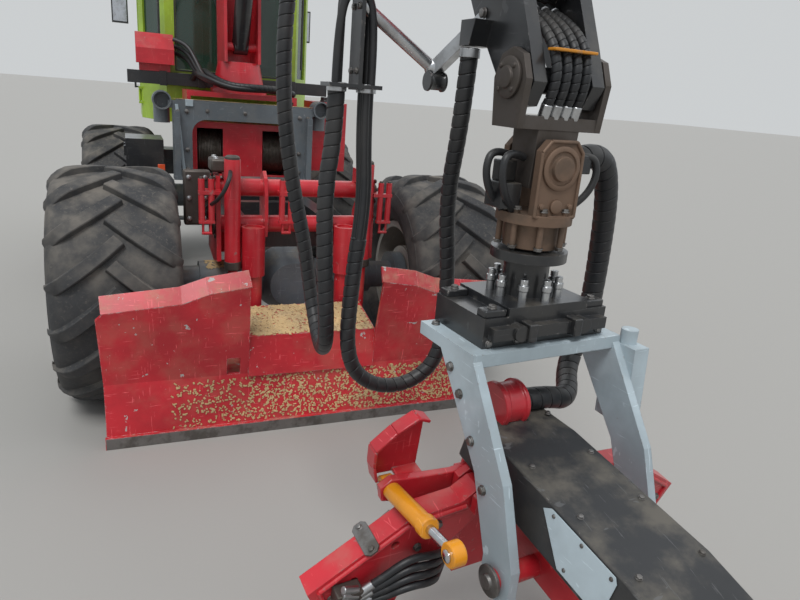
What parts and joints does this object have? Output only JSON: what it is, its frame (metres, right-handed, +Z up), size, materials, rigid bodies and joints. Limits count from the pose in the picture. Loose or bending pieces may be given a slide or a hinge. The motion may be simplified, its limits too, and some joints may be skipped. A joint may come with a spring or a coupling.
{
  "type": "forestry tractor",
  "caption": "Four-wheel forestry tractor with a cab, winch, rear log blade and a folding crane that carries a harvester head",
  "frame": {"origin": "ground point in the middle of the machine's overall length and width", "axes": "+X to the machine's right, +Y forwards, +Z up"},
  "size_m": [2.6242, 8.137, 5.3871],
  "materials": {
    "tyre": "worn",
    "rim_paint": "satin",
    "green_paint": "gloss",
    "cab_glass": "clear",
    "grey_paint": "satin",
    "black_paint": "satin",
    "hose_rubber": "matte",
    "bright_steel": "polished",
    "rope_steel": "worn",
    "cast_grey": "worn",
    "pale_paint": "satin",
    "bare_steel": "worn",
    "red_paint": "gloss"
  },
  "bodies": {
    "root": {"battery_box": "black_paint", "cab_glass": "cab_glass", "cab_interior": "black_paint", "cab_roof": "green_paint", "cab_shell": "green_paint", "crane_base": "red_paint", "driveline": "black_paint", "front_axle": "grey_paint", "main_frame": "black_paint", "oil_tank": "red_paint", "rear_axle": "grey_paint", "rear_tower": "red_paint", "valve_bar": "red_paint", "winch_frame": "grey_paint", "winch_housing": "red_paint"},
    "wheel_rear_left": {"tyre_rear_left": "tyre", "rim_rear_left": "rim_paint"},
    "wheel_rear_right": {"tyre_rear_right": "tyre", "rim_rear_right": "rim_paint"},
    "wheel_front_left": {"tyre_front_left": "tyre", "rim_front_left": "rim_paint"},
    "wheel_front_right": {"tyre_front_right": "tyre", "rim_front_right": "rim_paint"},
    "knuckle_left": {"knuckle_left": "grey_paint"},
    "knuckle_right": {"knuckle_right": "grey_paint"},
    "tie_rod": {"tie_rod": "grey_paint"},
    "door": {"door": "green_paint", "door_glass": "cab_glass"},
    "hood": {"hood": "green_paint"},
    "drum_left": {"drum_left": "rope_steel"},
    "drum_right": {"drum_right": "rope_steel"},
    "blade": {"log_blade": "red_paint"},
    "pillar": {"pillar": "red_paint"},
    "lift_barrel": {"lift_barrel": "red_paint"},
    "lift_rod": {"lift_rod": "bright_steel"},
    "main_boom": {"main_boom": "red_paint"},
    "jib_barrel": {"jib_barrel": "red_paint"},
    "jib_rod": {"jib_rod": "bright_steel"},
    "jib": {"jib": "red_paint"},
    "extension": {"extension": "black_paint", "hose_boom": "hose_rubber", "hose_link": "hose_rubber"},
    "tip_link": {"tip_link": "cast_grey"},
    "rotator": {"rotator": "cast_grey"},
    "rotor": {"rotor": "black_paint", "hanger": "pale_paint"},
    "head": {"head_frame": "red_paint", "head_cover": "black_paint"},
    "arm_left": {"roller_arm_left": "red_paint"},
    "arm_right": {"roller_arm_right": "red_paint"},
    "feed_roller_left": {"feed_roller_left": "bare_steel"},
    "feed_roller_right": {"feed_roller_right": "bare_steel"},
    "knife_left": {"knife_left": "bare_steel"},
    "knife_right": {"knife_right": "bare_steel"},
    "saw_bar": {"saw_bar": "bright_steel"}
  },
  "joints": [
    {"name": "wheel_rear_left_spin", "type": "hinge", "parent": "root", "child": "wheel_rear_left", "pos_m": [-0.985, -0.6415, 0.67], "axis": [1, 0, 0], "continuous": true},
    {"name": "wheel_rear_right_spin", "type": "hinge", "parent": "root", "child": "wheel_rear_right", "pos_m": [0.985, -0.6415, 0.67], "axis": [1, 0, 0], "continuous": true},
    {"name": "steer_left", "type": "hinge", "parent": "root", "child": "knuckle_left", "pos_m": [-0.64, 2.4585, 0.67], "axis": [0, 0, 1], "range_deg": [-28, 28]},
    {"name": "wheel_front_left_spin", "type": "hinge", "parent": "knuckle_left", "child": "wheel_front_left", "pos_m": [-0.985, 2.4585, 0.67], "axis": [1, 0, 0], "continuous": true},
    {"name": "steer_right", "type": "hinge", "parent": "root", "child": "knuckle_right", "pos_m": [0.64, 2.4585, 0.67], "axis": [0, 0, 1], "range_deg": [-28, 28]},
    {"name": "wheel_front_right_spin", "type": "hinge", "parent": "knuckle_right", "child": "wheel_front_right", "pos_m": [0.985, 2.4585, 0.67], "axis": [1, 0, 0], "continuous": true},
    {"name": "tie_rod_slide", "type": "slide", "parent": "root", "child": "tie_rod", "axis": [1, 0, 0], "range_m": [-0.1241, 0.1241]},
    {"name": "door_swing", "type": "hinge", "parent": "root", "child": "door", "pos_m": [-0.784, 2.1205, 2.2], "axis": [0, 0, 1], "range_deg": [0, 75]},
    {"name": "hood_tilt", "type": "hinge", "parent": "root", "child": "hood", "pos_m": [0, 3.9535, 1.355], "axis": [-1, 0, 0], "range_deg": [0, 60]},
    {"name": "drum_left_spin", "type": "hinge", "parent": "root", "child": "drum_left", "pos_m": [-0.27, 1.3435, 1.262], "axis": [1, 0, 0], "continuous": true},
    {"name": "drum_right_spin", "type": "hinge", "parent": "root", "child": "drum_right", "pos_m": [0.27, 1.3435, 1.262], "axis": [1, 0, 0], "continuous": true},
    {"name": "blade_lift", "type": "slide", "parent": "root", "child": "blade", "axis": [0, 0, 1], "range_m": [0, 0.4]},
    {"name": "slew", "type": "hinge", "parent": "root", "child": "pillar", "pos_m": [0, 1.3585, 2.5], "axis": [0, 0, 1], "range_deg": [-110, 110]},
    {"name": "main_boom_lift", "type": "hinge", "parent": "pillar", "child": "main_boom", "pos_m": [-0.00253, 1.40844, 3.15], "axis": [-0.9987, -0.0506, 0], "range_deg": [-15, 38]},
    {"name": "jib_fold", "type": "hinge", "parent": "main_boom", "child": "jib", "pos_m": [0.11232, -0.85866, 4.95], "axis": [0.9987, 0.0506, 0], "range_deg": [-70, 12]},
    {"name": "jib_extend", "type": "slide", "parent": "jib", "child": "extension", "axis": [0.0288, -0.5676, -0.8228], "range_m": [0, 1.2]},
    {"name": "lift_barrel_swing", "type": "hinge", "parent": "pillar", "child": "lift_barrel", "pos_m": [0.00304, 1.29858, 2.11], "axis": [-0.9987, -0.0506, 0], "range_deg": [-45, 45]},
    {"name": "lift_rod_slide", "type": "slide", "parent": "lift_barrel", "child": "lift_rod", "axis": [0.0185, -0.3643, 0.9311], "range_m": [-0.45, 0.45]},
    {"name": "jib_barrel_swing", "type": "hinge", "parent": "main_boom", "child": "jib_barrel", "pos_m": [0.03489, 0.66984, 4.06824], "axis": [-0.9987, -0.0506, 0], "range_deg": [-45, 45]},
    {"name": "jib_rod_slide", "type": "slide", "parent": "jib_barrel", "child": "jib_rod", "axis": [0.0386, -0.7623, 0.6461], "range_m": [-0.6, 0.2]},
    {"name": "link_swing", "type": "hinge", "parent": "extension", "child": "tip_link", "pos_m": [0.21856, -2.95597, 1.91], "axis": [-0.9987, -0.0506, 0], "range_deg": [-60, 60], "deforming": ["hose_link"]},
    {"name": "rotator_swing", "type": "hinge", "parent": "tip_link", "child": "rotator", "pos_m": [0.21856, -2.95597, 1.68], "axis": [0.0506, -0.9987, 0], "range_deg": [-25, 25]},
    {"name": "rotator_turn", "type": "hinge", "parent": "rotator", "child": "rotor", "pos_m": [0.21856, -2.95597, 1.42], "axis": [0, 0, 1], "continuous": true, "deforming": ["hose_link"]},
    {"name": "head_tilt", "type": "hinge", "parent": "rotor", "child": "head", "pos_m": [0.25762, -3.33396, 0.6], "axis": [-0.9947, -0.1028, 0], "range_deg": [-20, 85]},
    {"name": "arm_left_close", "type": "hinge", "parent": "head", "child": "arm_left", "pos_m": [0.04433, -3.1183, 0.71401], "axis": [0.1018, -0.985, -0.1392], "range_deg": [0, 40]},
    {"name": "feed_roller_left_spin", "type": "hinge", "parent": "arm_left", "child": "feed_roller_left", "pos_m": [-0.26943, -3.29247, 0.28017], "axis": [0.1018, -0.985, -0.1392], "continuous": true},
    {"name": "knife_left_close", "type": "hinge", "parent": "head", "child": "knife_left", "pos_m": [0.12928, -3.94035, 0.48679], "axis": [0.1018, -0.985, -0.1392], "range_deg": [0, 35]},
    {"name": "arm_right_close", "type": "hinge", "parent": "head", "child": "arm_right", "pos_m": [0.42231, -3.07924, 0.71401], "axis": [-0.1018, 0.985, 0.1392], "range_deg": [0, 40]},
    {"name": "feed_roller_right_spin", "type": "hinge", "parent": "arm_right", "child": "feed_roller_right", "pos_m": [0.76506, -3.18557, 0.28017], "axis": [0.1018, -0.985, -0.1392], "continuous": true},
    {"name": "knife_right_close", "type": "hinge", "parent": "head", "child": "knife_right", "pos_m": [0.50726, -3.90128, 0.48679], "axis": [-0.1018, 0.985, 0.1392], "range_deg": [0, 35]},
    {"name": "saw_swing", "type": "hinge", "parent": "head", "child": "saw_bar", "pos_m": [0.10681, -2.99332, 0.6296], "axis": [0.1018, -0.985, -0.1392], "range_deg": [0, 55]}
  ],
  "couplings": [
    {"joint": "steer_right", "follows": "steer_left", "ratio": 1},
    {"joint": "tie_rod_slide", "follows": "steer_left", "m_per_rad": 0.24977},
    {"joint": "lift_barrel_swing", "follows": "main_boom_lift", "ratio": 0.35164},
    {"joint": "lift_rod_slide", "follows": "main_boom_lift", "m_per_rad": 0.40467},
    {"joint": "jib_barrel_swing", "follows": "jib_fold", "ratio": -0.00153},
    {"joint": "jib_rod_slide", "follows": "jib_fold", "m_per_rad": 0.33818},
    {"joint": "arm_right_close", "follows": "arm_left_close", "ratio": 1},
    {"joint": "knife_right_close", "follows": "knife_left_close", "ratio": 1}
  ]
}
